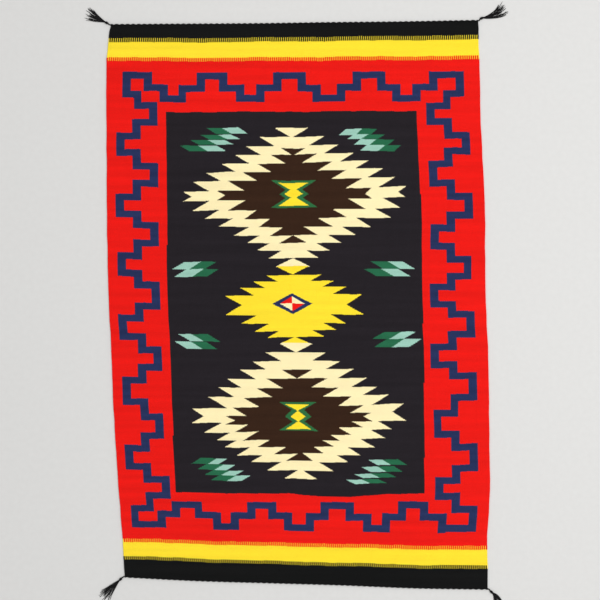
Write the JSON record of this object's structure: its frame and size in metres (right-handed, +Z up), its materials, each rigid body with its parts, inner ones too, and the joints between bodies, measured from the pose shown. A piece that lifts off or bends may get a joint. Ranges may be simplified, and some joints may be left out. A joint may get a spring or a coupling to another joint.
{
  "type": "hand-woven wool floor rug",
  "caption": "Flat tapestry-woven wool rug with a twined cord along each end and a yarn tassel at each corner.",
  "frame": {"origin": "on the floor under the centre of the rug's box, tassels included", "axes": "+Y along the rug's length towards the end at the top of the picture, +X to the right seen from above, +Z up"},
  "size_m": [1.367, 1.9776, 0.0074],
  "materials": {
    "red_wool": "matt wool, ribbed tapestry weave",
    "black_wool": "matt black wool, weave and twined cord",
    "tassel_yarn": "matt black plied wool yarn",
    "yellow_wool": "matt wool, ribbed tapestry weave",
    "charcoal_wool": "matt wool, ribbed tapestry weave",
    "navy_wool": "matt wool, ribbed tapestry weave",
    "cream_wool": "matt wool, ribbed tapestry weave",
    "brown_wool": "matt wool, ribbed tapestry weave",
    "green_wool": "matt wool, ribbed tapestry weave",
    "mint_wool": "matt wool, ribbed tapestry weave"
  },
  "bodies": {
    "root": {"rug_panel": "red_wool", "end_cord_top": "black_wool", "end_cord_bottom": "black_wool", "tassel_top_left": "tassel_yarn", "tassel_top_right": "tassel_yarn", "tassel_bottom_left": "tassel_yarn", "tassel_bottom_right": "tassel_yarn"}
  },
  "joints": []
}
